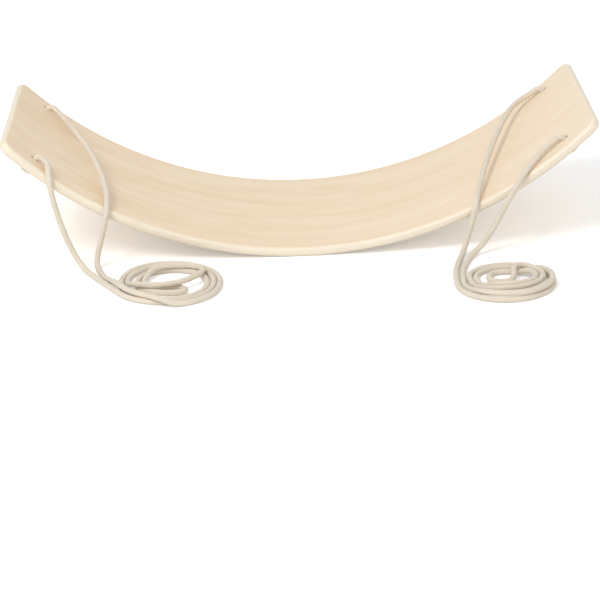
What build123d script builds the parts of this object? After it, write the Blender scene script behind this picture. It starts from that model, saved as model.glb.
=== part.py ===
"""Wobble board: a curved board of glued plies with a doubled rope at each end.

The board lies as a cradle: X along it, Y across it, Z up, lengths in millimetres.
The origin is on the floor under the middle, where the round face touches it.
Each rope starts at a knot under one hole, crosses the hollow face and the near edge,
lies coiled on the floor in a doubled strand, and goes back to the other hole of its end.
"""

from build123d import *
import math
import os

# Board
WIDTH = 300.0
LENGTH = 912.0
HOLLOW_RADIUS = 565.0
PLY_COUNT = 9
PLY_THICKNESS = 1.5
CORNER_RADIUS = 18.0
EDGE_ROUNDING = 5.5

# Rope holes, square to the board
HOLE_DIAMETER = 10.5
HOLE_TO_END = 52.0
HOLE_TO_SIDE = 32.5
HOLE_RIM = 1.2

# Rope and its stopper knots
ROPE_DIAMETER = 8.0
KNOT_DIAMETER = 19.5
KNOT_HEIGHT = 9.4
KNOT_CLEARANCE = 0.4
TAIL_LENGTH = 22.0
BEND_SHARE = 0.45

THICKNESS = PLY_COUNT * PLY_THICKNESS
ROUND_RADIUS = HOLLOW_RADIUS + THICKNESS
MIDDLE_RADIUS = HOLLOW_RADIUS + THICKNESS / 2
END_ANGLE = LENGTH / 2 / MIDDLE_RADIUS
HOLE_ANGLE = END_ANGLE - HOLE_TO_END / MIDDLE_RADIUS
HOLE_SIDE = WIDTH / 2 - HOLE_TO_SIDE
ROPE_RADIUS = ROPE_DIAMETER / 2
HOLE_BEND_LIFT = 6.8
KNOT_TOP_LIFT = -THICKNESS - KNOT_CLEARANCE


# Places on the board

def square_to_board(end, side, lift):
    """Point on a hole's line: end and side are -1 or 1, lift is measured from the hollow face."""
    radius = HOLLOW_RADIUS - lift
    x = end * radius * math.sin(HOLE_ANGLE)
    return (x, side * HOLE_SIDE, ROUND_RADIUS - radius * math.cos(HOLE_ANGLE))


def over_board(x, y, lift):
    """Point above the hollow face."""
    radius = HOLLOW_RADIUS - lift
    return (x, y, ROUND_RADIUS - math.sqrt(radius**2 - x**2))


def on_floor(x, y, rise=0.0):
    """Centre of a rope that lies on the floor, or rise above that."""
    return (x, y, ROPE_RADIUS + rise)


# Rope routes, chosen by hand: first under the hole, then above the hole
# and the face (x, y, lift), in the air (x, y, z) and on the floor (x, y)

def leg_route(end, side, above, hanging, lying):
    """All the points of one leg, from its knot to its coil."""
    route = [square_to_board(end, side, KNOT_TOP_LIFT), square_to_board(end, side, HOLE_BEND_LIFT)]
    route += [over_board(*point) for point in above]
    route += hanging
    route += [on_floor(*point) for point in lying]
    return route


LEFT_FRONT_LEG = leg_route(
    -1,
    -1,
    above=[(-351, -127.5, 7.6), (-347.2, -140, 9.6)],
    hanging=[
        (-345.2, -159, 127),
        (-342.6, -161, 106.5),
        (-338.2, -161.5, 85.5),
        (-333, -162, 65),
        (-327.4, -163, 47.3),
        (-321.6, -164, 32.4),
        (-315.8, -166.5, 20.4),
        (-309.6, -170.5, 11.2),
        (-302.8, -179.5, 5.4),
    ],
    lying=[(-294.5, -194.5), (-282.6, -216.5), (-271, -237)],
)
LEFT_BACK_LEG = leg_route(
    -1,
    1,
    above=[
        (-350, 109, 8),
        (-338, 88, 9),
        (-321, 50, 14),
        (-304, 8, 18),
        (-290, -32, 17),
        (-278, -74, 14),
        (-271.3, -110, 10.5),
        (-269, -138, 9.2),
    ],
    hanging=[
        (-269.6, -157.5, 81.5),
        (-272.8, -160, 65),
        (-277.2, -160, 49.5),
        (-281.7, -160, 34),
        (-285.4, -161, 20),
        (-287, -164.5, 9.5),
        (-285.8, -173, 4.2),
    ],
    lying=[(-281.3, -191), (-273.8, -211), (-264.6, -229.6, 2.2)],
)
RIGHT_BACK_LEG = leg_route(
    1,
    1,
    above=[
        (348, 117, 7.8),
        (333, 113, 11),
        (314, 90, 17),
        (295, 42, 19),
        (277, -12, 18),
        (261, -68, 15.5),
        (250, -113, 11),
        (243.8, -138, 9),
    ],
    hanging=[
        (239.6, -157, 68.5),
        (236.3, -159.5, 54),
        (232.3, -159.5, 39),
        (228, -160.5, 25),
        (223.8, -163.5, 12.5),
        (219.8, -172.5, 4.8),
    ],
    lying=[(214.5, -190), (208, -217), (203.3, -243)],
)
RIGHT_FRONT_LEG = leg_route(
    1,
    -1,
    above=[(348, -120, 7.4), (338, -122.5, 7.6), (328, -130, 7.4), (315, -142.5, 6.6)],
    hanging=[
        (303, -156, 107),
        (295.5, -160, 96),
        (289.5, -161, 84.9),
        (283, -161, 74),
        (275.3, -161, 59),
        (266.5, -161.5, 41),
        (256.5, -162.5, 25),
        (246, -166, 12.5),
        (237, -172.5, 5.8),
    ],
    lying=[(228.5, -188), (219.3, -214), (212.8, -242)],
)

# Coils: each strand's turns as angle in degrees, radius from the coil's centre, rise above the floor

LEFT_COIL_CENTRE = (-184.0, -239.0)
LEFT_LOWER_STRAND = [
    (210, 75, 0), (225, 74, 0), (247.5, 72, 0), (270, 71, 0),
    (292.5, 70, 0), (315, 66.8, 0), (337.5, 62, 0), (360, 59, 0),
    (405, 59.8, 0), (450, 63, 0), (472.5, 65.6, 0), (495, 65, 0), (517.5, 61.5, 0),
    (540, 57.3, 0), (562.5, 51.5, 8.4), (585, 40, 8.7), (607.5, 31, 8.7),
    (630, 26.2, 8.7), (652.5, 24.5, 8.7), (675, 25, 8.7), (697.5, 28, 8.7),
    (720, 35.5, 8.7), (738, 45.5, 8.8), (751, 53, 8.8), (766, 51, 8.8),
    (787.5, 46, 8.8), (810, 43.5, 8.8), (832.5, 43, 8.6), (855, 39.7, 5.8),
    (877.5, 36.8, 1.2), (900, 35.8, 0),
]
LEFT_UPPER_STRAND = [
    (186.5, 72.8, 6.4), (200, 70.4, 8.2), (222, 69, 7.6), (245, 71, 8.6),
    (258, 77, 8.8), (268, 81, 5.4), (279, 82.2, 0), (290, 79.8, 0), (302, 78.3, 0),
    (315, 76.2, 0), (337.5, 71, 0), (360, 67.8, 0), (405, 68.5, 0),
    (450, 72, 0), (472.5, 75.4, 0), (495, 74, 0), (517.5, 70.3, 0), (540, 66.7, 0),
    (562.5, 65.6, 0), (585, 64.6, 0), (607.5, 62.8, 0), (630, 61.9, 0),
    (652.5, 60.9, 0), (675, 57.8, 0), (697.5, 53.2, 0), (720, 50.2, 0),
    (765, 48.5, 0), (787.5, 48, 0), (810, 48, 0), (832.5, 48.3, 0),
    (855, 48.2, 0), (877.5, 46.8, 0), (900, 45, 0),
]
LEFT_BIGHT = [
    (-208.5, -252, 0), (-194, -256.3, 0), (-178, -257, 0), (-166.7, -258.8, 0),
    (-162, -267, 0), (-166.7, -275.2, 0), (-178, -277, 0), (-194, -275.2, 0),
    (-208.5, -270.5, 0), (-220, -262.5, 0), (-227.5, -251, 0),
]

RIGHT_COIL_CENTRE = (266.0, -285.0)
RIGHT_LOWER_STRAND = [
    (180, 64.8, 0), (202.5, 65.2, 0), (225, 65.2, 0), (270, 63.8, 0), (315, 64.2, 0),
    (360, 65, 0), (405, 64.6, 0), (450, 63, 0), (495, 57.6, 0), (517.5, 50.2, 0),
    (540, 44.4, 0), (562.5, 43.3, 1), (585, 44, 4.5), (607.5, 43.5, 7.5),
    (630, 43, 8.6), (675, 45.5, 8.6), (697.5, 49, 8.6), (720, 51.3, 8.6),
    (742.5, 50.8, 8.6), (765, 48, 9.2),
]
RIGHT_UPPER_STRAND = [
    (180, 55.8, 0), (202.5, 55.8, 0.8), (225, 56.8, 4.6), (247.5, 59.6, 7.6),
    (270, 61.8, 8.6), (315, 63.6, 8.7), (360, 63.8, 8.7), (382.5, 60.6, 8),
    (393.75, 58, 6.3), (405, 55.4, 3.6), (427.5, 54, 0), (450, 54, 0),
    (495, 47.4, 0), (517.5, 40.8, 0), (540, 35.3, 0), (562.5, 33.6, 1.5),
    (585, 33, 6), (607.5, 32.4, 9.2), (630, 32.5, 10.5), (675, 36.5, 9.5),
    (697.5, 39.9, 8.8), (720, 41.5, 8.6), (742.5, 40.6, 8.4), (760, 38.6, 5.8),
]
RIGHT_BIGHT = [
    (291.8, -247.4, 9.6), (283.9, -250.8, 9.8), (280.5, -259, 8.8), (280, -268, 4.6),
    (277.2, -277, 0.6), (269.5, -283.8, 0), (258.5, -284.5, 0), (249, -278.8, 0),
    (245.2, -268, 0), (248, -256.5, 0), (257, -248.8, 0), (268, -246.6, 0),
    (279, -247.6, 0), (288, -252, 0.6),
]


def turns(centre, strand):
    """Points of one strand's turns."""
    points = []
    for degrees, radius, rise in strand:
        angle = math.radians(degrees)
        x = centre[0] + radius * math.cos(angle)
        y = centre[1] + radius * math.sin(angle)
        points.append(on_floor(x, y, rise))
    return points


# Board

def board_block():
    """The whole board: a bent plate with round corners and round edges."""
    centre = (0, ROUND_RADIUS)
    degrees = math.degrees(END_ANGLE)
    profile = Plane.XZ * Pos(*centre) * make_face(arc_band(HOLLOW_RADIUS, ROUND_RADIUS, degrees))
    block = extrude(profile, WIDTH / 2, both=True)
    corners = block.edges().filter_by(GeomType.LINE).filter_by(lambda edge: edge.length < 2 * THICKNESS)
    block = fillet(corners, CORNER_RADIUS)
    rims = [edge for edge in block.edges() if not is_through_thickness(edge)]
    return fillet(rims, EDGE_ROUNDING)


def arc_band(inner, outer, half_angle):
    """Outline between two arcs round the origin, open at the top, half_angle each side of straight down."""
    start = -90 - half_angle
    far_arc = CenterArc((0, 0), outer, start, 2 * half_angle)
    near_arc = CenterArc((0, 0), inner, start, 2 * half_angle)
    return [far_arc, near_arc, Line(far_arc @ 0, near_arc @ 0), Line(far_arc @ 1, near_arc @ 1)]


def is_through_thickness(edge):
    """True for an edge that runs from one face of the board to the other."""
    first, last = edge @ 0, edge @ 1
    return abs(axis_distance(first) - axis_distance(last)) > THICKNESS / 2


def axis_distance(point):
    """Distance of a point from the line that the board is bent round."""
    return math.hypot(point.X, point.Z - ROUND_RADIUS)


def hole_plane(end, side, lift=0.0):
    """Plane square to the board on a hole's line, looking away from the round face."""
    origin = Vector(*square_to_board(end, side, lift))
    up = (Vector(0, origin.Y, ROUND_RADIUS) - origin).normalized()
    return Plane(origin=origin, x_dir=(0, 1, 0), z_dir=up)


def hole_cutter(end, side):
    """A drilled hole with a slightly broken rim on both faces."""
    length = THICKNESS + 4 * HOLE_RIM
    middle = hole_plane(end, side, -THICKNESS / 2)
    cutter = middle * Cylinder(HOLE_DIAMETER / 2, length)
    cone = Cone(HOLE_DIAMETER / 2, HOLE_DIAMETER / 2 + 2 * HOLE_RIM, 2 * HOLE_RIM)
    cutter += hole_plane(end, side, 0) * cone
    cutter += hole_plane(end, side, -THICKNESS) * (Rot(180, 0, 0) * cone)
    return cutter


def plies():
    """The glued plies, from the round face to the hollow one."""
    block = board_block()
    for end in (-1, 1):
        for side in (-1, 1):
            block -= hole_cutter(end, side)
    nodes = {}
    for number in range(1, PLY_COUNT + 1):
        outer = ROUND_RADIUS - (number - 1) * PLY_THICKNESS
        shell = Cylinder(outer, WIDTH + 2) - Cylinder(outer - PLY_THICKNESS, WIDTH + 2)
        shell = Pos(0, 0, ROUND_RADIUS) * Rot(90, 0, 0) * shell
        nodes[f"ply_{number}"] = block & shell
    return nodes


# Rope

def leg_path(route):
    """Straight runs joined by tangent arcs, each as wide as its shorter run allows."""
    radii = []
    for before, corner, after in zip(route, route[1:], route[2:]):
        first = Vector(*corner) - Vector(*before)
        second = Vector(*after) - Vector(*corner)
        turn = math.radians(first.get_angle(second))
        radii.append(BEND_SHARE * min(first.length, second.length) / math.tan(turn / 2))
    print("  bend radii", [round(radius, 1) for radius in radii])
    return FilletPolyline(*route, radius=radii)


def biarc(start, start_direction, end, end_direction):
    """Two tangent arcs from one point and direction to another."""
    chord = end - start
    spread = 2 * (1 - start_direction.dot(end_direction))
    along = chord.dot(start_direction + end_direction)
    reach = chord.dot(chord) / (along + math.sqrt(along**2 + spread * chord.dot(chord)))
    middle = (start + end + (start_direction - end_direction) * reach) * 0.5
    middle_direction = (middle - start - start_direction * reach).normalized()
    first = TangentArc(start, middle, tangent=start_direction)
    second = TangentArc(middle, end, tangent=middle_direction)
    return [first, second]


def coil_path(route_in, points, route_out):
    """Biarcs through a coil's points, from one leg's last run into the other's."""
    start = Vector(*route_in[-1])
    start_direction = (start - Vector(*route_in[-2])).normalized()
    finish = Vector(*route_out[-1])
    finish_direction = (Vector(*route_out[-2]) - finish).normalized()
    nodes = [start + start_direction * ROPE_DIAMETER]
    nodes += [Vector(*point) for point in points]
    nodes.append(finish - finish_direction * ROPE_DIAMETER)
    directions = [start_direction]
    for before, node, after in zip(nodes, nodes[1:], nodes[2:]):
        first, second = node - before, after - node
        direction = first.normalized() * second.length + second.normalized() * first.length
        if node.Z <= ROPE_RADIUS:
            direction = Vector(direction.X, direction.Y, 0)
        directions.append(direction.normalized())
    directions.append(finish_direction)
    edges = [Line(start, nodes[0])]
    for number in range(len(nodes) - 1):
        edges += biarc(nodes[number], directions[number], nodes[number + 1], directions[number + 1])
    edges.append(Line(nodes[-1], finish))
    return Wire(edges)


def rope_tube(path):
    """Round tube along a path, with its volume set against section times length."""
    section = Plane(origin=path @ 0, z_dir=path % 0) * Circle(ROPE_RADIUS)
    tube = sweep(section, path=path)
    share = tube.volume / (math.pi * ROPE_RADIUS**2 * path.length)
    print(f"  length {path.length:.0f}, volume over section times length {share:.4f}")
    return tube


def least_gap(path):
    """Least gap of a tube to itself, measured on points of its line."""
    step = ROPE_RADIUS / 2
    count = int(path.length / step)
    points = [tuple(path @ (number / count)) for number in range(count + 1)]
    skip = int(4 * ROPE_DIAMETER / step)
    least = math.inf
    for number, point in enumerate(points):
        for other in points[number + skip:]:
            least = min(least, math.dist(point, other))
    return least - ROPE_DIAMETER


def knot(end, side):
    """Flat stopper knot against the round face: one turn round the rope's line, and a tail."""
    turn_radius = KNOT_HEIGHT / 2
    ring_radius = KNOT_DIAMETER / 2 - turn_radius
    solid = Cylinder(ring_radius, KNOT_HEIGHT) + Torus(ring_radius, turn_radius)
    tail = Pos(0, 0, TAIL_LENGTH / 2) * Cylinder(ROPE_RADIUS, TAIL_LENGTH)
    tail = fillet(tail.edges().group_by(Axis.Z)[-1], ROPE_RADIUS / 4)
    solid += Pos(0, ring_radius, 0) * Rot(0, -side * 90, 0) * tail
    return hole_plane(end, side, KNOT_TOP_LIFT) * Pos(0, 0, -turn_radius) * solid


def rope(name, end, front_route, back_route, coil_points, coil_from_front):
    """One rope's pieces: two knots, two legs and the coil between them."""
    print(name)
    nodes = {}
    nodes[f"{name}_front_leg"] = rope_tube(leg_path(front_route))
    nodes[f"{name}_back_leg"] = rope_tube(leg_path(back_route))
    if coil_from_front:
        coil = coil_path(front_route, coil_points, back_route)
    else:
        coil = coil_path(back_route, coil_points, front_route)
    nodes[f"{name}_coil"] = rope_tube(coil)
    print(f"  least gap of the coil to itself {least_gap(coil):.2f}")
    nodes[f"{name}_front_knot"] = knot(end, -1)
    nodes[f"{name}_back_knot"] = knot(end, 1)
    return nodes


def all_nodes():
    """Every piece by name."""
    left_points = turns(LEFT_COIL_CENTRE, LEFT_LOWER_STRAND)
    left_points += [on_floor(*point) for point in LEFT_BIGHT]
    left_points += reversed(turns(LEFT_COIL_CENTRE, LEFT_UPPER_STRAND))
    right_points = turns(RIGHT_COIL_CENTRE, RIGHT_LOWER_STRAND)
    right_points += [on_floor(*point) for point in RIGHT_BIGHT]
    right_points += reversed(turns(RIGHT_COIL_CENTRE, RIGHT_UPPER_STRAND))
    nodes = plies()
    nodes |= rope("left_rope", -1, LEFT_FRONT_LEG, LEFT_BACK_LEG, left_points, coil_from_front=True)
    nodes |= rope("right_rope", 1, RIGHT_FRONT_LEG, RIGHT_BACK_LEG, right_points, coil_from_front=False)
    return nodes


os.makedirs("parts", exist_ok=True)
for node_name, shape in all_nodes().items():
    shape.label = node_name
    export_step(shape, f"parts/{node_name}.step")
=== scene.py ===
"""Wobble board: the looks of a bent plywood board with a knotted cotton rope at each end.

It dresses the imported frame: metres, X along the board, Y across it, Z up, with the origin
on the floor under the middle of the board.
"""

import math

import bmesh
import bpy
from bpy.props import FloatProperty, FloatVectorProperty, IntProperty, PointerProperty
from mathutils import Matrix, Vector


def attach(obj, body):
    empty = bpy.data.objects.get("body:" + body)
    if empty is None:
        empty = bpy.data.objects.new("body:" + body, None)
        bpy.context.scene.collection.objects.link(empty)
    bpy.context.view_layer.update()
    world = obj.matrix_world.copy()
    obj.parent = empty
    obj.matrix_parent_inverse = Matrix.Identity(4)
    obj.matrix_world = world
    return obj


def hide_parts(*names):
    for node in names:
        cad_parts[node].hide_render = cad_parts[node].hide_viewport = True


bl_info = {
    "name": "Wobble Board",
    "version": (1, 0, 0),
    "blender": (4, 5, 0),
    "location": "View3D > Sidebar > Wobble Board",
    "description": "Dresses a bent plywood balance board and its two cotton ropes",
    "category": "Object",
}

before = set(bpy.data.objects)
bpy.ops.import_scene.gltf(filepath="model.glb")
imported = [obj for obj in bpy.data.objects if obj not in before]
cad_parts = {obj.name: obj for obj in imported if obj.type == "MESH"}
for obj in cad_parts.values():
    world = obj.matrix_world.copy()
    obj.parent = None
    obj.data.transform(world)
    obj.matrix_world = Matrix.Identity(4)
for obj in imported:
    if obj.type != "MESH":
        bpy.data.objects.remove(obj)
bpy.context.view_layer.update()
BODY = "root"

# Colours, as sRGB hex values
BIRCH_FACE = "F0DABA"
BIRCH_DARK_GRAIN = "E9CFA9"
BIRCH_PALE_GRAIN = "F5E5CE"
BIRCH_EDGE = "F2E7D3"
GLUE_LINE = "8A6A45"
PITH_FLECK = "9A7A50"
COTTON_YARN = "F6ECDC"
# Painted shade: the darker cotton colour in the hollows between the yarns
COTTON_HOLLOW_SHADE = "C9B493"
FLOOR_WHITE = "FCFCFC"

# How finely the board's rounded edge, its corners and its bend are divided
EDGE_STEPS = 12
CORNER_STEPS = 10
LENGTH_STEPS = 120
WIDTH_STEPS = 16
HOLE_SIDES = 40
SMOOTH_ANGLE = math.radians(35)
SLIVER = 1e-5

# How finely the rope is divided
ROPE_SIDES = 20
ROPE_STEP = 0.0018
TURN_STEP = 15.0
SPLINE_STEPS = 6

# A tube's rounded end: share of its radius and how far out, in radii, for each row, and the tip
DOME_ROWS = ((0.93, 0.22), (0.75, 0.4), (0.45, 0.52))
DOME_HEIGHT = 0.55

# A stopper knot: degrees that it goes round, in steps, and the direction in which it ends.
# Its tail is given as share of its length, sideways in ring radii and depth in rope radii.
KNOT_TURN = 450
KNOT_STEP = 25
KNOT_EXIT = 90
KNOT_TAIL = ((0.25, 1.06, 1.24), (0.5, 0.9, 1.18), (0.75, 0.72, 1.14), (1.0, 0.62, 1.12))

# Where the ropes leave the holes, and how far below the round face they start
HOLE_BEND_LIFT = 0.0068
KNOT_CLEARANCE = 0.0004

# Camera, fitted to the photograph
CAMERA_PLACE = (-0.05452, -3.11908, 1.12472)
CAMERA_AZIMUTH = math.radians(-0.907)
CAMERA_ELEVATION = math.radians(21.825)
CAMERA_ROLL = math.radians(-1.918)
CAMERA_LENS = 136.66
SENSOR_WIDTH = 36.0

# Lamps
LAMP_TARGET = Vector((0, 0, 0.08))
KEY_LAMP_PLACE = (-1.9, -2.3, 3.6)
KEY_LAMP_SIZE = 1.5
FILL_LAMP_PLACE = (1.2, -4.2, 2.2)
FILL_LAMP_SIZE = 3.0


def srgb(hex_value):
    """Linear colour of an sRGB hex value."""
    channels = [int(hex_value[place:place + 2], 16) / 255 for place in (0, 2, 4)]
    return tuple(c / 12.92 if c <= 0.04045 else ((c + 0.055) / 1.055) ** 2.4 for c in channels)


# Sizes and colours that a user would change

class BoardSettings(bpy.types.PropertyGroup):
    """Sizes and colours of the bent board."""

    width: FloatProperty(
        name="Width", description="Width of the board across its bend", default=0.300, unit="LENGTH"
    )
    length: FloatProperty(
        name="Length",
        description="Length of the board along the middle of its bend",
        default=0.912,
        unit="LENGTH",
    )
    hollow_radius: FloatProperty(
        name="Hollow Radius", description="Radius of the hollow face", default=0.565, unit="LENGTH"
    )
    ply_thickness: FloatProperty(
        name="Ply Thickness",
        description="Thickness of one ply",
        default=0.0015,
        precision=4,
        unit="LENGTH",
    )
    ply_count: IntProperty(name="Plies", description="Number of glued plies", default=9, min=3)
    corner_radius: FloatProperty(
        name="Corner Radius",
        description="Radius of the board's four corners",
        default=0.018,
        unit="LENGTH",
    )
    edge_rounding: FloatProperty(
        name="Edge Rounding",
        description="Radius of the rounded edge",
        default=0.0055,
        precision=4,
        unit="LENGTH",
    )
    hole_diameter: FloatProperty(
        name="Hole Diameter", description="Diameter of the rope holes", default=0.0105, unit="LENGTH"
    )
    hole_rim: FloatProperty(
        name="Hole Rim",
        description="Rounding of a hole's rim",
        default=0.0012,
        precision=4,
        unit="LENGTH",
    )
    hole_to_end: FloatProperty(
        name="Hole to End",
        description="Middle of a hole to the board's end",
        default=0.052,
        unit="LENGTH",
    )
    hole_to_side: FloatProperty(
        name="Hole to Side",
        description="Middle of a hole to the board's side",
        default=0.0325,
        unit="LENGTH",
    )
    face_color: FloatVectorProperty(
        name="Veneer",
        description="Main colour of the veneer",
        subtype="COLOR",
        default=srgb(BIRCH_FACE),
    )
    dark_grain_color: FloatVectorProperty(
        name="Dark Grain",
        description="Colour of the darker grain",
        subtype="COLOR",
        default=srgb(BIRCH_DARK_GRAIN),
    )
    pale_grain_color: FloatVectorProperty(
        name="Pale Grain",
        description="Colour of the paler grain",
        subtype="COLOR",
        default=srgb(BIRCH_PALE_GRAIN),
    )
    edge_color: FloatVectorProperty(
        name="Sanded Edge",
        description="Colour of the sanded edge",
        subtype="COLOR",
        default=srgb(BIRCH_EDGE),
    )
    grain_width: FloatProperty(
        name="Grain Width",
        description="Width of one streak of grain",
        default=0.0012,
        precision=4,
        unit="LENGTH",
    )
    grain_contrast: FloatProperty(
        name="Grain Contrast", description="How strongly the streaks of grain show", default=0.5
    )
    # Painted light: how much paler the veneer is painted at the right end, where more light falls
    painted_light_right_end: FloatProperty(
        name="Pale End", description="How much paler the veneer is at the right end", default=0.45
    )

    def thickness(self):
        """Thickness of the whole board."""
        return self.ply_count * self.ply_thickness

    def round_radius(self):
        """Radius of the round face."""
        return self.hollow_radius + self.thickness()

    def middle_radius(self):
        """Radius halfway through the board, along which its length is measured."""
        return self.hollow_radius + self.thickness() / 2


class RopeSettings(bpy.types.PropertyGroup):
    """Sizes and colours of the two ropes."""

    diameter: FloatProperty(
        name="Diameter", description="Diameter of the rope", default=0.008, unit="LENGTH"
    )
    knot_diameter: FloatProperty(
        name="Knot Diameter",
        description="Outside diameter of a stopper knot",
        default=0.0195,
        unit="LENGTH",
    )
    tail_length: FloatProperty(
        name="Tail Length", description="Rope that lies out of a knot", default=0.022, unit="LENGTH"
    )
    yarns_around: IntProperty(
        name="Yarns Around", description="Braided yarns side by side round the rope", default=12, min=4
    )
    yarn_color: FloatVectorProperty(
        name="Yarn", description="Colour of the cotton yarn", subtype="COLOR", default=srgb(COTTON_YARN)
    )
    # Painted shade: the darker colour painted into the hollows between the yarns
    hollow_shade_color: FloatVectorProperty(
        name="Between Yarns",
        description="Colour between the yarns",
        subtype="COLOR",
        default=srgb(COTTON_HOLLOW_SHADE),
    )


class StageSettings(bpy.types.PropertyGroup):
    """The floor and the lamps."""

    floor_radius: FloatProperty(
        name="Floor Radius", description="Radius of the round floor", default=9.0, unit="LENGTH"
    )
    key_power: FloatProperty(
        name="Key Lamp", description="Power of the large lamp at the left", default=84.0, unit="POWER"
    )
    fill_power: FloatProperty(
        name="Fill Lamp", description="Power of the large lamp in front", default=26.0, unit="POWER"
    )
    sky_strength: FloatProperty(
        name="Surrounding Light", description="Strength of the light from all round", default=0.64
    )
    floor_lift: FloatProperty(
        name="Floor Lift",
        description="Light added to the floor for the camera alone",
        default=0.26,
    )


# Nodes

def add_node(tree, kind, *values, **named):
    """Adds a node: values fill its inputs in order, and sockets given as values are linked.

    Names that start with a capital are inputs too, and the other names are the node's properties.
    """
    node = tree.nodes.new(kind)
    given = list(enumerate(values))
    for name, value in named.items():
        if name[0].islower():
            setattr(node, name, value)
        else:
            given.append((name.replace("_", " "), value))
    for place, value in given:
        socket = node.inputs[place]
        if isinstance(value, bpy.types.NodeSocket):
            tree.links.new(value, socket)
        else:
            socket.default_value = value
    return node


def stops(node, *pairs):
    """Sets a colour ramp's stops from (place, grey or colour) pairs and gives its colour."""
    ramp = node.color_ramp
    while len(ramp.elements) < len(pairs):
        ramp.elements.new(0.5)
    for element, (place, value) in zip(ramp.elements, pairs):
        element.position = place
        color = (value,) * 3 if isinstance(value, float) else tuple(value)
        element.color = (*color[:3], 1.0)
    return node.outputs["Color"]


def new_material(name):
    """A material with an empty node tree and its output."""
    material = bpy.data.materials.new(name)
    material.use_nodes = True
    tree = material.node_tree
    tree.nodes.clear()
    return material, tree, add_node(tree, "ShaderNodeOutputMaterial")


def birch_veneer(board, grain_across):
    """Rotary-cut birch under clear satin lacquer.

    A peeled veneer shows soft, wide bands and fine streaks along its grain, with a few short
    brown flecks. The sanded edge is paler, and the glue between the plies shows in thin lines.
    """
    name = "birch veneer, cross grain" if grain_across else "birch veneer, long grain"
    material, tree, output = new_material(name)
    blank = add_node(tree, "ShaderNodeAttribute", attribute_name="blank").outputs["Vector"]
    parts = add_node(tree, "ShaderNodeSeparateXYZ", blank).outputs
    turn = (0, 0, math.radians(90)) if grain_across else (0, 0, 0)
    along = add_node(tree, "ShaderNodeMapping", blank, Rotation=turn).outputs[0]

    # Wide bands, about 40 mm across and half a metre long, bent by a slower wander
    wander = add_node(tree, "ShaderNodeMapping", along, Scale=(2.2, 9.0, 60.0)).outputs[0]
    bend = add_node(tree, "ShaderNodeTexNoise", wander, Scale=1.0, Detail=2.0).outputs["Color"]
    bent = add_node(tree, "ShaderNodeMixRGB", 0.035, along, bend, blend_type="ADD").outputs[0]
    band_place = add_node(tree, "ShaderNodeMapping", bent, Scale=(1.8, 26.0, 220.0)).outputs[0]
    bands = add_node(tree, "ShaderNodeTexNoise", band_place, Scale=1.0, Detail=4.0, Roughness=0.55)
    color = stops(
        add_node(tree, "ShaderNodeValToRGB", bands.outputs["Fac"]),
        (0.22, board.dark_grain_color), (0.5, board.face_color), (0.8, board.pale_grain_color),
    )

    # Painted light: the veneer is painted a little paler towards the board's right end, where the light
    # falls more strongly on the hollow face
    share = add_node(
        tree, "ShaderNodeMapRange", parts["X"], 0.0, board.length / 2, 0.0, board.painted_light_right_end
    ).outputs[0]
    color = add_node(tree, "ShaderNodeMixRGB", share, color, (*board.pale_grain_color, 1.0)).outputs[0]

    # Fine streaks, one grain width across and some 50 times as long
    fine = 1 / board.grain_width
    streak_scale = (fine / 50, fine / 2, fine / 2)
    streak_place = add_node(tree, "ShaderNodeMapping", bent, Scale=streak_scale).outputs[0]
    streaks = add_node(
        tree, "ShaderNodeTexNoise", streak_place, Scale=1.0, Detail=5.0, Roughness=0.65
    ).outputs["Fac"]
    shade = stops(add_node(tree, "ShaderNodeValToRGB", streaks), (0.25, 0.86), (0.5, 0.98), (0.7, 1.0))
    color = add_node(
        tree, "ShaderNodeMixRGB", board.grain_contrast, color, shade, blend_type="MULTIPLY"
    ).outputs[0]

    # Pith flecks, about 3 mm long and 0.5 mm wide, in a few places
    fleck_place = add_node(tree, "ShaderNodeMapping", along, Scale=(90.0, 700.0, 700.0)).outputs[0]
    spots = add_node(tree, "ShaderNodeTexNoise", fleck_place, Scale=1.0, Detail=1.0).outputs["Fac"]
    fleck = add_node(tree, "ShaderNodeMapRange", spots, 0.78, 0.8, 0.0, 0.35).outputs[0]
    color = add_node(tree, "ShaderNodeMixRGB", fleck, color, (*srgb(PITH_FLECK), 1.0)).outputs[0]

    # The sanded edge: how far the surface turns away from the two faces
    half = board.thickness() / 2
    off_middle = add_node(tree, "ShaderNodeMath", parts["Z"], half, operation="SUBTRACT").outputs[0]
    off_middle = add_node(tree, "ShaderNodeMath", off_middle, operation="ABSOLUTE").outputs[0]
    on_edge = add_node(
        tree, "ShaderNodeMapRange", off_middle, half - 0.00004, half - 0.0008,
        interpolation_type="SMOOTHSTEP",
    ).outputs[0]
    share = add_node(tree, "ShaderNodeMath", on_edge, 0.85, operation="MULTIPLY").outputs[0]
    color = add_node(tree, "ShaderNodeMixRGB", share, color, (*board.edge_color, 1.0)).outputs[0]

    # Glue lines between the plies, drawn 0.3 mm wide so that they show, and only in stretches
    plies_deep = add_node(
        tree, "ShaderNodeMath", parts["Z"], board.ply_thickness, operation="DIVIDE"
    ).outputs[0]
    to_line = add_node(tree, "ShaderNodeMath", plies_deep, 0.5, operation="PINGPONG").outputs[0]
    line = add_node(
        tree, "ShaderNodeMapRange", to_line, 0.11, 0.03, interpolation_type="SMOOTHSTEP"
    ).outputs[0]
    stretch_place = add_node(tree, "ShaderNodeMapping", blank, Scale=(14.0, 14.0, 900.0)).outputs[0]
    stretch = add_node(tree, "ShaderNodeTexNoise", stretch_place, Scale=1.0, Detail=3.0).outputs["Fac"]
    stretch = stops(add_node(tree, "ShaderNodeValToRGB", stretch), (0.4, 0.12), (0.62, 0.6))
    line = add_node(tree, "ShaderNodeMath", line, on_edge, operation="MULTIPLY").outputs[0]
    line = add_node(tree, "ShaderNodeMath", line, stretch, operation="MULTIPLY").outputs[0]
    color = add_node(tree, "ShaderNodeMixRGB", line, color, (*srgb(GLUE_LINE), 1.0)).outputs[0]

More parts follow.
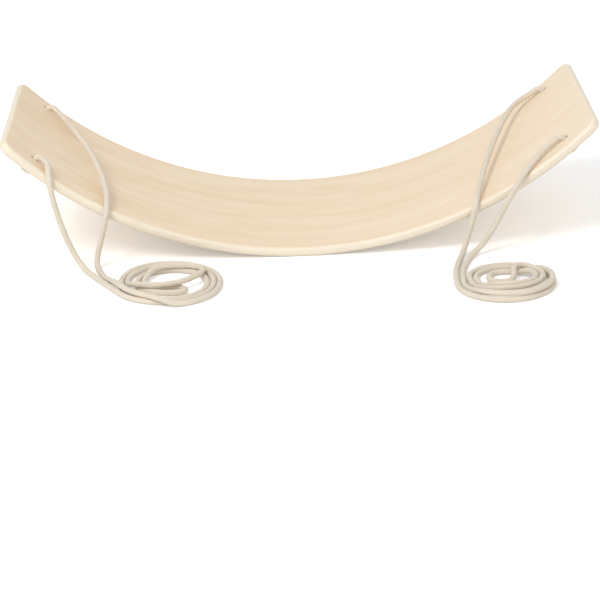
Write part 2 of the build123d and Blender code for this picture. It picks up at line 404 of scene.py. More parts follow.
    bump = add_node(tree, "ShaderNodeBump", Height=streaks, Strength=0.1, Distance=0.0002).outputs[0]
    shader = add_node(
        tree, "ShaderNodeBsdfPrincipled", Base_Color=color, Normal=bump, Roughness=0.52, IOR=1.5,
        Coat_Weight=0.12, Coat_Roughness=0.35,
    )
    tree.links.new(shader.outputs[0], output.inputs["Surface"])
    return material


def braided_cotton(rope):
    """Undyed cotton in a round braid: pale, matt yarns that cross, with soft shade between them."""
    material, tree, output = new_material("braided cotton, undyed")
    place = add_node(tree, "ShaderNodeUVMap", uv_map="rope").outputs["UV"]
    turns = add_node(tree, "ShaderNodeVectorMath", place, operation="SCALE", Scale=float(rope.yarns_around))
    parts = add_node(tree, "ShaderNodeSeparateXYZ", turns.outputs[0]).outputs
    rising = add_node(tree, "ShaderNodeMath", parts["Y"], parts["X"], operation="ADD").outputs[0]
    falling = add_node(tree, "ShaderNodeMath", parts["Y"], parts["X"], operation="SUBTRACT").outputs[0]

    # Each family of yarns is round across, and rises and dips along
    ridges, cells = [], []
    for family in (rising, falling):
        share = add_node(tree, "ShaderNodeMath", family, operation="FRACT").outputs[0]
        angle = add_node(tree, "ShaderNodeMath", share, math.pi, operation="MULTIPLY").outputs[0]
        ridges.append(add_node(tree, "ShaderNodeMath", angle, operation="SINE").outputs[0])
        cells.append(add_node(tree, "ShaderNodeMath", family, operation="FLOOR").outputs[0])
    heights = []
    for across, lengthwise in (ridges, reversed(ridges)):
        wave = add_node(tree, "ShaderNodeMath", lengthwise, 0.45, 0.55, operation="MULTIPLY_ADD").outputs[0]
        heights.append(add_node(tree, "ShaderNodeMath", across, wave, operation="MULTIPLY").outputs[0])
    over = add_node(tree, "ShaderNodeMath", *cells, operation="ADD").outputs[0]
    over = add_node(tree, "ShaderNodeMath", over, 1.0, operation="PINGPONG").outputs[0]
    height = add_node(
        tree, "ShaderNodeMix", data_type="FLOAT", Factor=over, A=heights[0], B=heights[1]
    ).outputs[0]

    # Loose fibres and slow changes of tone along the rope
    own = add_node(tree, "ShaderNodeTexCoord").outputs["Object"]
    fibres = add_node(tree, "ShaderNodeTexNoise", own, Scale=1500.0, Detail=3.0).outputs["Fac"]
    tone = add_node(tree, "ShaderNodeTexNoise", own, Scale=45.0, Detail=2.0).outputs["Fac"]
    height = add_node(tree, "ShaderNodeMath", fibres, 0.25, height, operation="MULTIPLY_ADD").outputs[0]
    # Painted shade: the low parts between the yarns are painted darker, towards the hollow colour
    shade = stops(
        add_node(tree, "ShaderNodeValToRGB", height), (0.1, rope.hollow_shade_color), (0.75, rope.yarn_color)
    )
    tone = stops(add_node(tree, "ShaderNodeValToRGB", tone), (0.3, 0.94), (0.7, 1.0))
    color = add_node(tree, "ShaderNodeMixRGB", 1.0, shade, tone, blend_type="MULTIPLY").outputs[0]
    bump = add_node(tree, "ShaderNodeBump", Height=height, Strength=0.7, Distance=0.0005).outputs[0]
    shader = add_node(
        tree, "ShaderNodeBsdfPrincipled", Base_Color=color, Normal=bump, Roughness=0.88, IOR=1.46,
        Sheen_Weight=0.25, Sheen_Roughness=0.6, Specular_IOR_Level=0.25,
    )
    tree.links.new(shader.outputs[0], output.inputs["Surface"])
    return material


# Board

def edge_inset(depth, thickness, rounding):
    """How far the rounded edge stands back at a depth below one face."""
    near = min(depth, thickness - depth)
    if near >= rounding:
        return 0.0
    return rounding - math.sqrt(rounding**2 - (rounding - near) ** 2)


def ply_levels(board, bottom, top):
    """Depths of one ply's rings: its two faces, and more where an edge or a hole's rim is round."""
    levels = {bottom, top}
    for rounding in (board.edge_rounding, board.hole_rim):
        for step in range(EDGE_STEPS + 1):
            near = rounding * (1 - math.cos(math.pi / 2 * step / EDGE_STEPS))
            levels |= {near, board.thickness() - near}
    inside = [level for level in levels if bottom + SLIVER < level < top - SLIVER]
    return sorted([bottom, *inside, top])


def outline_ring(board, depth):
    """Points round the flat blank at a depth: four corner arcs with straight sides between them."""
    inset = edge_inset(depth, board.thickness(), board.edge_rounding)
    radius = board.corner_radius - inset
    x, y = board.length / 2 - board.corner_radius, board.width / 2 - board.corner_radius
    corners = [
        (x, -y, -90, WIDTH_STEPS),
        (x, y, 0, LENGTH_STEPS),
        (-x, y, 90, WIDTH_STEPS),
        (-x, -y, 180, LENGTH_STEPS),
    ]
    arcs = []
    for centre_x, centre_y, start, _ in corners:
        angles = [math.radians(start + 90 * step / CORNER_STEPS) for step in range(CORNER_STEPS + 1)]
        arcs.append([(centre_x + radius * math.cos(a), centre_y + radius * math.sin(a)) for a in angles])
    ring = []
    for place, arc in enumerate(arcs):
        ring += arc
        start, end = arc[-1], arcs[(place + 1) % 4][0]
        steps = corners[place][3]
        for step in range(1, steps):
            share = step / steps
            ring.append((start[0] + (end[0] - start[0]) * share, start[1] + (end[1] - start[1]) * share))
    return [Vector((*point, depth)) for point in ring]


def hole_ring(board, centre, depth):
    """Points round a rope hole at a depth, wider where its rim is rounded."""
    radius = board.hole_diameter / 2 + edge_inset(depth, board.thickness(), board.hole_rim)
    angles = [math.tau * side / HOLE_SIDES for side in range(HOLE_SIDES)]
    x, y = centre
    return [Vector((x + radius * math.cos(a), y + radius * math.sin(a), depth)) for a in angles]


def hole_places(board):
    """Middles of the four rope holes on the flat blank."""
    x, y = board.length / 2 - board.hole_to_end, board.width / 2 - board.hole_to_side
    return [(end * x, side * y) for end in (-1, 1) for side in (-1, 1)]


def add_wall(bm, rings):
    """Joins rings of points into a closed wall and returns its rings of vertices."""
    rows = [[bm.verts.new(point) for point in ring] for ring in rings]
    for lower, upper in zip(rows, rows[1:]):
        for place in range(len(lower)):
            after = (place + 1) % len(lower)
            bm.faces.new((lower[place], lower[after], upper[after], upper[place]))
    return rows


def ring_edges(bm, row):
    """Edges of one ring of vertices."""
    return [bm.edges.get((row[place - 1], row[place])) for place in range(len(row))]


def flat_ply(board, number):
    """Mesh of one ply before it is bent: its edge, its hole walls and two faces cut in strips across."""
    bottom, top = (number - 1) * board.ply_thickness, number * board.ply_thickness
    levels = ply_levels(board, bottom, top)
    bm = bmesh.new()
    walls = [add_wall(bm, [outline_ring(board, level) for level in levels])]
    for centre in hole_places(board):
        walls.append(add_wall(bm, [hole_ring(board, centre, level) for level in levels]))
    for end in (0, -1):
        edges = [edge for wall in walls for edge in ring_edges(bm, wall[end])]
        filled = bmesh.ops.triangle_fill(bm, use_beauty=True, edges=edges)
        cut = [face for face in filled["geom"] if isinstance(face, bmesh.types.BMFace)]
        straight = board.length / 2 - board.corner_radius
        for step in range(1, LENGTH_STEPS):
            parts = set(cut)
            for face in cut:
                parts |= {*face.edges, *face.verts}
            place = -straight + 2 * straight * step / LENGTH_STEPS
            result = bmesh.ops.bisect_plane(
                bm, geom=list(parts), dist=SLIVER / 10, plane_co=(place, 0, 0), plane_no=(1, 0, 0)
            )
            cut = [item for item in result["geom"] if isinstance(item, bmesh.types.BMFace)]
    bmesh.ops.recalc_face_normals(bm, faces=bm.faces)
    mesh = bpy.data.meshes.new(f"ply {number}, flat")
    bm.to_mesh(mesh)
    bm.free()
    return mesh


def mould_tree():
    """Geometry nodes that bend a flat ply round the mould and keep its flat place for the grain."""
    tree = bpy.data.node_groups.new("bend on the mould", "GeometryNodeTree")
    face = tree.interface
    face.new_socket("Geometry", in_out="INPUT", socket_type="NodeSocketGeometry")
    face.new_socket("Round Radius", in_out="INPUT", socket_type="NodeSocketFloat")
    face.new_socket("Middle Radius", in_out="INPUT", socket_type="NodeSocketFloat")
    face.new_socket("Veneer", in_out="INPUT", socket_type="NodeSocketMaterial")
    face.new_socket("Geometry", in_out="OUTPUT", socket_type="NodeSocketGeometry")
    given = add_node(tree, "NodeGroupInput").outputs
    flat = add_node(tree, "GeometryNodeInputPosition").outputs[0]
    kept = add_node(
        tree, "GeometryNodeStoreNamedAttribute", data_type="FLOAT_VECTOR", domain="POINT",
        Geometry=given["Geometry"], Name="blank", Value=flat,
    )
    parts = add_node(tree, "ShaderNodeSeparateXYZ", flat).outputs
    angle = add_node(tree, "ShaderNodeMath", parts["X"], given["Middle Radius"], operation="DIVIDE")
    radius = add_node(tree, "ShaderNodeMath", given["Round Radius"], parts["Z"], operation="SUBTRACT")
    sine = add_node(tree, "ShaderNodeMath", angle.outputs[0], operation="SINE")
    cosine = add_node(tree, "ShaderNodeMath", angle.outputs[0], operation="COSINE")
    x = add_node(tree, "ShaderNodeMath", radius.outputs[0], sine.outputs[0], operation="MULTIPLY")
    drop = add_node(tree, "ShaderNodeMath", radius.outputs[0], cosine.outputs[0], operation="MULTIPLY")
    z = add_node(tree, "ShaderNodeMath", given["Round Radius"], drop.outputs[0], operation="SUBTRACT")
    bent = add_node(tree, "ShaderNodeCombineXYZ", x.outputs[0], parts["Y"], z.outputs[0]).outputs[0]
    moved = add_node(tree, "GeometryNodeSetPosition", kept.outputs[0], Position=bent)
    real = add_node(tree, "GeometryNodeRealizeInstances", moved.outputs[0])
    covered = add_node(
        tree, "GeometryNodeSetMaterial", real.outputs[0], Material=given["Veneer"]
    )
    add_node(tree, "NodeGroupOutput", covered.outputs[0])
    return tree


def set_input(modifier, name, value):
    """Sets an input of a Geometry Nodes modifier by its socket's identifier."""
    for item in modifier.node_group.interface.items_tree:
        if item.item_type == "SOCKET" and item.in_out == "INPUT" and item.name == name:
            modifier[item.identifier] = value


def make_plain(piece):
    """Turns what the modifiers give into the piece's own mesh."""
    depsgraph = bpy.context.evaluated_depsgraph_get()
    made = piece.evaluated_get(depsgraph)
    mesh = bpy.data.meshes.new_from_object(made, preserve_all_data_layers=True, depsgraph=depsgraph)
    piece.modifiers.clear()
    piece.data = mesh


def add_piece(name, mesh):
    """Links a new object with that mesh."""
    piece = bpy.data.objects.new(name, mesh)
    bpy.context.scene.collection.objects.link(piece)
    return piece


# Rope routes: points given in metres, as the CAD model has them.
# Above the board they are (x, y, lift), in the air (x, y, z) and on the floor (x, y, rise).

LEFT_FRONT_LEG = {
    "above": [(-0.351, -0.1275, 0.0076), (-0.3472, -0.14, 0.0096)],
    "hanging": [
        (-0.3452, -0.159, 0.127),
        (-0.3426, -0.161, 0.1065),
        (-0.3382, -0.1615, 0.0855),
        (-0.333, -0.162, 0.065),
        (-0.3274, -0.163, 0.0473),
        (-0.3216, -0.164, 0.0324),
        (-0.3158, -0.1665, 0.0204),
        (-0.3096, -0.1705, 0.0112),
        (-0.3028, -0.1795, 0.0054),
    ],
    "lying": [(-0.2945, -0.1945), (-0.2826, -0.2165), (-0.271, -0.237)],
}
LEFT_BACK_LEG = {
    "above": [
        (-0.35, 0.109, 0.008),
        (-0.338, 0.088, 0.009),
        (-0.321, 0.05, 0.014),
        (-0.304, 0.008, 0.018),
        (-0.29, -0.032, 0.017),
        (-0.278, -0.074, 0.014),
        (-0.2713, -0.11, 0.0105),
        (-0.269, -0.138, 0.0092),
    ],
    "hanging": [
        (-0.2696, -0.1575, 0.0815),
        (-0.2728, -0.16, 0.065),
        (-0.2772, -0.16, 0.0495),
        (-0.2817, -0.16, 0.034),
        (-0.2854, -0.161, 0.02),
        (-0.287, -0.1645, 0.0095),
        (-0.2858, -0.173, 0.0042),
    ],
    "lying": [(-0.2813, -0.191), (-0.2738, -0.211), (-0.2646, -0.2296, 0.0022)],
}
RIGHT_BACK_LEG = {
    "above": [
        (0.348, 0.117, 0.0078),
        (0.333, 0.113, 0.011),
        (0.314, 0.09, 0.017),
        (0.295, 0.042, 0.019),
        (0.277, -0.012, 0.018),
        (0.261, -0.068, 0.0155),
        (0.25, -0.113, 0.011),
        (0.2438, -0.138, 0.009),
    ],
    "hanging": [
        (0.2396, -0.157, 0.0685),
        (0.2363, -0.1595, 0.054),
        (0.2323, -0.1595, 0.039),
        (0.228, -0.1605, 0.025),
        (0.2238, -0.1635, 0.0125),
        (0.2198, -0.1725, 0.0048),
    ],
    "lying": [(0.2145, -0.19), (0.208, -0.217), (0.2033, -0.243)],
}
RIGHT_FRONT_LEG = {
    "above": [
        (0.348, -0.12, 0.0074),
        (0.338, -0.1225, 0.0076),
        (0.328, -0.13, 0.0074),
        (0.315, -0.1425, 0.0066),
    ],
    "hanging": [
        (0.303, -0.156, 0.107),
        (0.2955, -0.16, 0.096),
        (0.2895, -0.161, 0.0849),
        (0.283, -0.161, 0.074),
        (0.2753, -0.161, 0.059),
        (0.2665, -0.1615, 0.041),
        (0.2565, -0.1625, 0.025),
        (0.246, -0.166, 0.0125),
        (0.237, -0.1725, 0.0058),
    ],
    "lying": [(0.2285, -0.188), (0.2193, -0.214), (0.2128, -0.242)],
}

# Coils: angle in degrees, radius from the coil's centre and rise above the floor

LEFT_COIL_CENTRE = (-0.184, -0.239)
RIGHT_COIL_CENTRE = (0.266, -0.285)
LEFT_LOWER_STRAND = [
    (210, 0.075, 0), (225, 0.074, 0), (247.5, 0.072, 0), (270, 0.071, 0),
    (292.5, 0.07, 0), (315, 0.0668, 0), (337.5, 0.062, 0), (360, 0.059, 0),
    (405, 0.0598, 0), (450, 0.063, 0), (472.5, 0.0656, 0), (495, 0.065, 0), (517.5, 0.0615, 0),
    (540, 0.0573, 0), (562.5, 0.0515, 0.0084), (585, 0.04, 0.0087), (607.5, 0.031, 0.0087),
    (630, 0.0262, 0.0087), (652.5, 0.0245, 0.0087), (675, 0.025, 0.0087), (697.5, 0.028, 0.0087),
    (720, 0.0355, 0.0087), (738, 0.0455, 0.0088), (751, 0.053, 0.0088), (766, 0.051, 0.0088),
    (787.5, 0.046, 0.0088), (810, 0.0435, 0.0088), (832.5, 0.043, 0.0086), (855, 0.0397, 0.0058),
    (877.5, 0.0368, 0.0012), (900, 0.0358, 0),
]
LEFT_UPPER_STRAND = [
    (186.5, 0.0728, 0.0064), (200, 0.0704, 0.0082), (222, 0.069, 0.0076), (245, 0.071, 0.0086),
    (258, 0.077, 0.0088), (268, 0.081, 0.0054), (279, 0.0822, 0), (290, 0.0798, 0), (302, 0.0783, 0),
    (315, 0.0762, 0), (337.5, 0.071, 0), (360, 0.0678, 0), (405, 0.0685, 0),
    (450, 0.072, 0), (472.5, 0.0754, 0), (495, 0.074, 0), (517.5, 0.0703, 0), (540, 0.0667, 0),
    (562.5, 0.0656, 0), (585, 0.0646, 0), (607.5, 0.0628, 0), (630, 0.0619, 0),
    (652.5, 0.0609, 0), (675, 0.0578, 0), (697.5, 0.0532, 0), (720, 0.0502, 0),
    (765, 0.0485, 0), (787.5, 0.048, 0), (810, 0.048, 0), (832.5, 0.0483, 0),
    (855, 0.0482, 0), (877.5, 0.0468, 0), (900, 0.045, 0),
]
LEFT_BIGHT = [
    (-0.2085, -0.252, 0), (-0.194, -0.2563, 0), (-0.178, -0.257, 0), (-0.1667, -0.2588, 0),
    (-0.162, -0.267, 0), (-0.1667, -0.2752, 0), (-0.178, -0.277, 0), (-0.194, -0.2752, 0),
    (-0.2085, -0.2705, 0), (-0.22, -0.2625, 0), (-0.2275, -0.251, 0),
]
RIGHT_LOWER_STRAND = [
    (180, 0.0648, 0), (202.5, 0.0652, 0), (225, 0.0652, 0), (270, 0.0638, 0), (315, 0.0642, 0),
    (360, 0.065, 0), (405, 0.0646, 0), (450, 0.063, 0), (495, 0.0576, 0), (517.5, 0.0502, 0),
    (540, 0.0444, 0), (562.5, 0.0433, 0.001), (585, 0.044, 0.0045), (607.5, 0.0435, 0.0075),
    (630, 0.043, 0.0086), (675, 0.0455, 0.0086), (697.5, 0.049, 0.0086), (720, 0.0513, 0.0086),
    (742.5, 0.0508, 0.0086), (765, 0.048, 0.0092),
]
RIGHT_UPPER_STRAND = [
    (180, 0.0558, 0), (202.5, 0.0558, 0.0008), (225, 0.0568, 0.0046), (247.5, 0.0596, 0.0076),
    (270, 0.0618, 0.0086), (315, 0.0636, 0.0087), (360, 0.0638, 0.0087), (382.5, 0.0606, 0.008),
    (393.75, 0.058, 0.0063), (405, 0.0554, 0.0036), (427.5, 0.054, 0), (450, 0.054, 0),
    (495, 0.0474, 0), (517.5, 0.0408, 0), (540, 0.0353, 0), (562.5, 0.0336, 0.0015),
    (585, 0.033, 0.006), (607.5, 0.0324, 0.0092), (630, 0.0325, 0.0105), (675, 0.0365, 0.0095),
    (697.5, 0.0399, 0.0088), (720, 0.0415, 0.0086), (742.5, 0.0406, 0.0084), (760, 0.0386, 0.0058),
]
RIGHT_BIGHT = [
    (0.2918, -0.2474, 0.0096), (0.2839, -0.2508, 0.0098), (0.2805, -0.259, 0.0088), (0.28, -0.268, 0.0046),
    (0.2772, -0.277, 0.0006), (0.2695, -0.2838, 0), (0.2585, -0.2845, 0), (0.249, -0.2788, 0),
    (0.2452, -0.268, 0), (0.248, -0.2565, 0), (0.257, -0.2488, 0), (0.268, -0.2466, 0),
    (0.279, -0.2476, 0), (0.288, -0.252, 0.0006),
]


def hole_point(board, end, side, lift):
    """Point on a hole's line: end and side are -1 or 1, lift is measured from the hollow face."""
    angle = (board.length / 2 - board.hole_to_end) / board.middle_radius()
    radius = board.hollow_radius - lift
    across = board.width / 2 - board.hole_to_side
    height = board.round_radius() - radius * math.cos(angle)
    return Vector((end * radius * math.sin(angle), side * across, height))


def over_board(board, x, y, lift):
    """Point above the hollow face."""
    radius = board.hollow_radius - lift
    return Vector((x, y, board.round_radius() - math.sqrt(radius**2 - x**2)))


def on_floor(rope, x, y, rise=0.0):
    """Middle of a rope that lies on the floor, or rise above that."""
    return Vector((x, y, rope.diameter / 2 + rise))


def leg_points(board, rope, end, side, leg):
    """The points of one leg, from its knot to its coil."""
    points = [
        hole_point(board, end, side, -board.thickness() - KNOT_CLEARANCE),
        hole_point(board, end, side, HOLE_BEND_LIFT),
    ]
    points += [over_board(board, *point) for point in leg["above"]]
    points += [Vector(point) for point in leg["hanging"]]
    return points + [on_floor(rope, *point) for point in leg["lying"]]


def slopes(places, values):
    """Slope at each place of a curve through the values that never overshoots them."""
    steps = [after - before for before, after in zip(places, places[1:])]
    rates = [(after - before) / step for before, after, step in zip(values, values[1:], steps)]
    result = [rates[0]]
    for number in range(1, len(rates)):
        before, after = rates[number - 1], rates[number]
        if before * after <= 0:
            result.append(0.0)
        else:
            near = 2 * steps[number] + steps[number - 1]
            far = steps[number] + 2 * steps[number - 1]
            result.append((near + far) / (near / before + far / after))
    return [*result, rates[-1]]


def between(places, values, place):
    """Value of that curve at a place."""
    number = max(0, min(len(places) - 2, sum(1 for p in places if p <= place) - 1))
    width = places[number + 1] - places[number]
    t = (place - places[number]) / width
    slope = slopes(places, values)
    return (
        (1 + 2 * t) * (1 - t) ** 2 * values[number]
        + t * (1 - t) ** 2 * width * slope[number]
        + t * t * (3 - 2 * t) * values[number + 1]
        + t * t * (t - 1) * width * slope[number + 1]
    )


def turn_points(rope, centre, rows):
    """Evenly spaced points of one strand's turns."""
    angles, radii, rises = (list(column) for column in zip(*rows))
    count = round((angles[-1] - angles[0]) / TURN_STEP)
    points = []
    for step in range(count + 1):
        degrees = angles[0] + (angles[-1] - angles[0]) * step / count
        radius, rise = between(angles, radii, degrees), between(angles, rises, degrees)
        angle = math.radians(degrees)
        x, y = centre[0] + radius * math.cos(angle), centre[1] + radius * math.sin(angle)
        points.append(on_floor(rope, x, y, rise))
    return points


def spline_line(name, points):
    """Points along the smooth line of one open NURBS spline that has these control points."""
    curve = bpy.data.curves.new(name, "CURVE")
    curve.dimensions = "3D"
    spline = curve.splines.new("NURBS")
    spline.points.add(len(points) - 1)
    for place, point in zip(spline.points, points):
        place.co = (*point, 1.0)
    spline.order_u = 3
    spline.use_endpoint_u = True
    spline.resolution_u = SPLINE_STEPS
    holder = add_piece(name, curve)
    line = [vertex.co.copy() for vertex in bpy.data.meshes.new_from_object(holder).vertices]
    bpy.data.objects.remove(holder)
    return line


def even_steps(line, step):
    """Points at even steps along a line, with its own ends, and the line's length."""
    lengths = [0.0]
    for before, after in zip(line, line[1:]):
        lengths.append(lengths[-1] + (after - before).length)
    count = max(2, round(lengths[-1] / step))
    points, number = [], 0
    for place in range(count + 1):
        target = lengths[-1] * place / count
        while number < len(line) - 2 and lengths[number + 1] < target:
            number += 1
        span = lengths[number + 1] - lengths[number]
        share = (target - lengths[number]) / span if span else 0.0
        points.append(line[number].lerp(line[number + 1], min(1.0, share)))
    return points, lengths[-1]


def rope_tube(name, line, radius, round_ends=False):
    """Closed tube along a line, with a map that runs along and round it in turns of its girth."""
    points, length = even_steps(line, ROPE_STEP)
    directions = [(points[1] - points[0]).normalized()]
    directions += [(after - before).normalized() for before, after in zip(points, points[2:])]
    directions.append((points[-1] - points[-2]).normalized())
    side = directions[0].orthogonal().normalized()
    bm = bmesh.new()
    rings, previous = [], directions[0]
    for point, direction in zip(points, directions):
        side = (previous.rotation_difference(direction) @ side).normalized()
        other = direction.cross(side)
        previous = direction
        ring = []
        for number in range(ROPE_SIDES):
            angle = math.tau * number / ROPE_SIDES
            ring.append(bm.verts.new(point + (side * math.cos(angle) + other * math.sin(angle)) * radius))
        rings.append(ring)
    layer = bm.loops.layers.uv.new("rope")
    along = length / (len(points) - 1) / (math.tau * radius)
    for place in range(len(rings) - 1):
        for number in range(ROPE_SIDES):
            after = (number + 1) % ROPE_SIDES
            near, far = rings[place], rings[place + 1]
            face = bm.faces.new((near[number], near[after], far[after], far[number]))
            face.smooth = True
            spots = [(place, number), (place, number + 1), (place + 1, number + 1), (place + 1, number)]
            for loop, (u, v) in zip(face.loops, spots):
                loop[layer].uv = (u * along, v / ROPE_SIDES)
    add_end(bm, rings[0], -directions[0], radius, round_ends)
    add_end(bm, rings[-1], directions[-1], radius, round_ends)
    bmesh.ops.recalc_face_normals(bm, faces=bm.faces)
    mesh = bpy.data.meshes.new(name)
    bm.to_mesh(mesh)
    bm.free()
    return mesh


def add_end(bm, ring, direction, radius, rounded):
    """Closes a tube's end, flat or as a shallow dome."""
    middle = sum((vertex.co for vertex in ring), Vector()) / len(ring)
    rows = [ring]
    if rounded:
        for share, out in DOME_ROWS:
            shift = direction * radius * out
            rows.append([bm.verts.new(middle + (v.co - middle) * share + shift) for v in ring])
    for before, after in zip(rows, rows[1:]):
        for number in range(len(ring)):
            following = (number + 1) % len(ring)
            bm.faces.new((before[number], before[following], after[following], after[number])).smooth = True
    tip = bm.verts.new(middle + direction * radius * (DOME_HEIGHT if rounded else 0.0))
    for number in range(len(ring)):
        bm.faces.new((rows[-1][number], rows[-1][(number + 1) % len(ring)], tip)).smooth = True


def knot_points(rope, side):
    """Line of a flat stopper knot below its hole: down the middle, a turn and a bit, and the tail.

    The board's round face is at height 0, and the tail lies along it towards the board's middle.
    """
    half = rope.diameter / 2
    ring = rope.knot_diameter / 2 - half
    high, low = -half * 1.04, -half * 1.26
    points = [(0, 0, half * 0.5), (0, 0, -half * 0.4), (-ring * 0.6, -ring * 0.1, high)]
    start = KNOT_EXIT + KNOT_TURN
    for degrees in range(start, KNOT_EXIT - 1, -KNOT_STEP):
        share = (start - degrees) / KNOT_TURN
        angle = math.radians(degrees)
        wide = ring * (1 + 0.12 * share)
        points.append((wide * math.cos(angle), wide * math.sin(angle), high + (low - high) * share))
    for share, aside, depth in KNOT_TAIL:
        points.append((rope.tail_length * share, ring * aside, -half * depth))
    return [Vector((-side * x, y, z)) for x, y, z in points]


def hole_matrix(board, end, side):
    """Place of a hole's mouth on the round face, with Z along the hole towards the hollow side."""
    origin = hole_point(board, end, side, -board.thickness())
    up = (Vector((0, origin.y, board.round_radius())) - origin).normalized()
    across = Vector((0, 1, 0))
    turn = Matrix((across, up.cross(across), up)).transposed()
    return Matrix.Translation(origin) @ turn.to_4x4()


# Operators

class BuildPlies(bpy.types.Operator):
    """Bends the plies of the board round one mould"""

    bl_idname = "wobble_board.build_plies"
    bl_label = "Build Plies"

    def execute(self, context):
        board = context.scene.wobble_board
        tree = mould_tree()
        veneers = {across: birch_veneer(board, across) for across in (False, True)}
        for number in range(1, board.ply_count + 1):
            piece = add_piece(f"veneer_{number}", flat_ply(board, number))
            bend = piece.modifiers.new("mould", "NODES")
            bend.node_group = tree
            set_input(bend, "Round Radius", board.round_radius())
            set_input(bend, "Middle Radius", board.middle_radius())
            set_input(bend, "Veneer", veneers[number % 2 == 0])
            make_plain(piece)
            piece.data.shade_smooth()
            piece.data.set_sharp_from_angle(angle=SMOOTH_ANGLE)
            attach(piece, BODY)
            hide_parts(f"ply_{number}")
        return {"FINISHED"}


class BuildKnots(bpy.types.Operator):
    """Ties the four stopper knots under the rope holes"""

    bl_idname = "wobble_board.build_knots"
    bl_label = "Build Knots"

    def execute(self, context):
        board, rope = context.scene.wobble_board, context.scene.wobble_rope
        cotton = cotton_material(rope)
        for end, rope_name in ((-1, "left_rope"), (1, "right_rope")):
            for side, place in ((-1, "front"), (1, "back")):
                seat = hole_matrix(board, end, side)
                line = [seat @ point for point in spline_line("knot line", knot_points(rope, side))]
                tube = rope_tube("stopper knot", line, rope.diameter / 2, round_ends=True)
                piece = add_piece(f"{rope_name}_{place}_stopper", tube)
                piece.data.materials.append(cotton)
                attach(piece, BODY)
                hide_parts(f"{rope_name}_{place}_knot")
        return {"FINISHED"}


class BuildRopes(bpy.types.Operator):
    """Lays the two ropes from hole to hole, with their coils on the floor"""

    bl_idname = "wobble_board.build_ropes"
    bl_label = "Build Ropes"

    def execute(self, context):
        board, rope = context.scene.wobble_board, context.scene.wobble_rope
        left_points = leg_points(board, rope, -1, -1, LEFT_FRONT_LEG)
        left_points += turn_points(rope, LEFT_COIL_CENTRE, LEFT_LOWER_STRAND)
        left_points += [on_floor(rope, *point) for point in LEFT_BIGHT]
        left_points += reversed(turn_points(rope, LEFT_COIL_CENTRE, LEFT_UPPER_STRAND))
        left_points += reversed(leg_points(board, rope, -1, 1, LEFT_BACK_LEG))
        right_points = leg_points(board, rope, 1, 1, RIGHT_BACK_LEG)
        right_points += turn_points(rope, RIGHT_COIL_CENTRE, RIGHT_LOWER_STRAND)
        right_points += [on_floor(rope, *point) for point in RIGHT_BIGHT]
        right_points += reversed(turn_points(rope, RIGHT_COIL_CENTRE, RIGHT_UPPER_STRAND))
        right_points += reversed(leg_points(board, rope, 1, -1, RIGHT_FRONT_LEG))
        lay_rope(rope, "left_rope", left_points)
        lay_rope(rope, "right_rope", right_points)
        return {"FINISHED"}


def cotton_material(rope):
    """The ropes' material, made once."""
    return bpy.data.materials.get("braided cotton, undyed") or braided_cotton(rope)


def lay_rope(rope, name, points):
    """One rope as a tube along its route."""
    line = spline_line(f"{name} line", points)
    piece = add_piece(name, rope_tube(name, line, rope.diameter / 2))
    piece.data.materials.append(cotton_material(rope))
    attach(piece, BODY)
    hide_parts(f"{name}_front_leg", f"{name}_back_leg", f"{name}_coil")
    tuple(line[0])


class SetStage(bpy.types.Operator):
    """Sets the floor, the lamps, the surroundings and the camera"""

    bl_idname = "wobble_board.set_stage"
    bl_label = "Set Stage"

    def execute(self, context):
        stage = context.scene.wobble_stage
        add_floor(stage)
        add_lamp("key lamp", KEY_LAMP_PLACE, KEY_LAMP_SIZE, stage.key_power)
        add_lamp("fill lamp", FILL_LAMP_PLACE, FILL_LAMP_SIZE, stage.fill_power)
        light_all_round(stage)
        add_camera()
        context.scene.view_settings.view_transform = "Standard"
        return {"FINISHED"}


def add_floor(stage):
    """Round white floor that keeps the object's shadow, and is lifted a little for the camera."""
    bm = bmesh.new()
    bmesh.ops.create_circle(bm, cap_ends=True, segments=96, radius=stage.floor_radius)
    mesh = bpy.data.meshes.new("floor")
    bm.to_mesh(mesh)
    bm.free()
    material, tree, output = new_material("matt white paint")
    paint = add_node(tree, "ShaderNodeBsdfDiffuse", (*srgb(FLOOR_WHITE), 1.0)).outputs[0]
    seen = add_node(tree, "ShaderNodeLightPath").outputs["Is Camera Ray"]
    lift = add_node(tree, "ShaderNodeMath", seen, stage.floor_lift, operation="MULTIPLY").outputs[0]
    glow = add_node(tree, "ShaderNodeEmission", (1.0, 1.0, 1.0, 1.0), lift).outputs[0]
    both = add_node(tree, "ShaderNodeAddShader", paint, glow).outputs[0]
    tree.links.new(both, output.inputs["Surface"])
    floor = add_piece("floor", mesh)
    mesh.materials.append(material)


def add_lamp(name, place, size, power):
    """Square soft lamp that looks at the middle of the object."""
    data = bpy.data.lights.new(name, "AREA")
    data.shape = "SQUARE"
    data.size = size
    data.energy = power
    lamp = bpy.data.objects.new(name, data)
    lamp.location = place
    lamp.rotation_euler = (LAMP_TARGET - Vector(place)).to_track_quat("-Z", "Y").to_euler()
    bpy.context.scene.collection.objects.link(lamp)


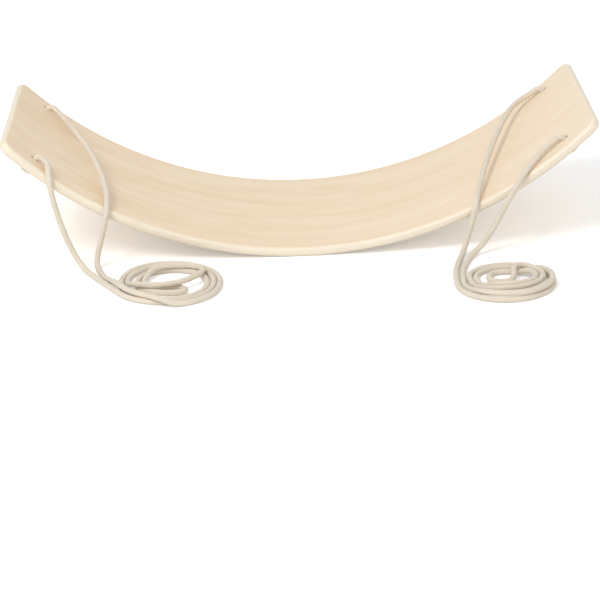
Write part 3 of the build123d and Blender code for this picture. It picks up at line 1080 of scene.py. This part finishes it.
def light_all_round(stage):
    """Even light from all round, white to the camera and in reflections."""
    world = bpy.data.worlds.new("white studio")
    bpy.context.scene.world = world
    world.use_nodes = True
    tree = world.node_tree
    tree.nodes.clear()
    path = add_node(tree, "ShaderNodeLightPath").outputs
    strength = stage.sky_strength
    for ray in ("Is Camera Ray", "Is Glossy Ray", "Is Transmission Ray"):
        strength = add_node(tree, "ShaderNodeMath", strength, path[ray], operation="MAXIMUM").outputs[0]
    back = add_node(tree, "ShaderNodeBackground", (1.0, 1.0, 1.0, 1.0), strength)
    add_node(tree, "ShaderNodeOutputWorld", back.outputs[0])


def add_camera():
    """Camera where the photograph was taken from."""
    data = bpy.data.cameras.new("camera")
    data.lens = CAMERA_LENS
    data.sensor_width = SENSOR_WIDTH
    camera = bpy.data.objects.new("camera", data)
    camera.location = CAMERA_PLACE
    turn = Matrix.Rotation(CAMERA_AZIMUTH, 3, "Z")
    turn @= Matrix.Rotation(math.pi / 2 - CAMERA_ELEVATION, 3, "X")
    turn @= Matrix.Rotation(CAMERA_ROLL, 3, "Z")
    camera.rotation_euler = turn.to_euler()
    bpy.context.scene.collection.objects.link(camera)
    bpy.context.scene.camera = camera


class WobbleBoardPanel(bpy.types.Panel):
    """The board's operators and settings in the sidebar"""

    bl_idname = "VIEW3D_PT_wobble_board"
    bl_label = "Wobble Board"
    bl_space_type = "VIEW_3D"
    bl_region_type = "UI"
    bl_category = "Wobble Board"

    def draw(self, context):
        for name in ("wobble_board", "wobble_rope", "wobble_stage"):
            box = self.layout.box()
            settings = getattr(context.scene, name)
            for prop in type(settings).__annotations__:
                box.prop(settings, prop)
        for operator in OPERATORS:
            self.layout.operator(operator.bl_idname)


OPERATORS = (BuildPlies, BuildKnots, BuildRopes, SetStage)
SETTINGS = {"wobble_board": BoardSettings, "wobble_rope": RopeSettings, "wobble_stage": StageSettings}


def register():
    for kind in (*SETTINGS.values(), *OPERATORS, WobbleBoardPanel):
        bpy.utils.register_class(kind)
    for name, kind in SETTINGS.items():
        setattr(bpy.types.Scene, name, PointerProperty(type=kind))


def unregister():
    for name in SETTINGS:
        delattr(bpy.types.Scene, name)
    for kind in (WobbleBoardPanel, *reversed(OPERATORS), *reversed(SETTINGS.values())):
        bpy.utils.unregister_class(kind)


def main():
    """Builds every piece and the stage."""
    register()
    bpy.ops.wobble_board.build_plies()
    bpy.ops.wobble_board.build_knots()
    bpy.ops.wobble_board.build_ropes()
    bpy.ops.wobble_board.set_stage()


if __name__ == "__main__":
    main()
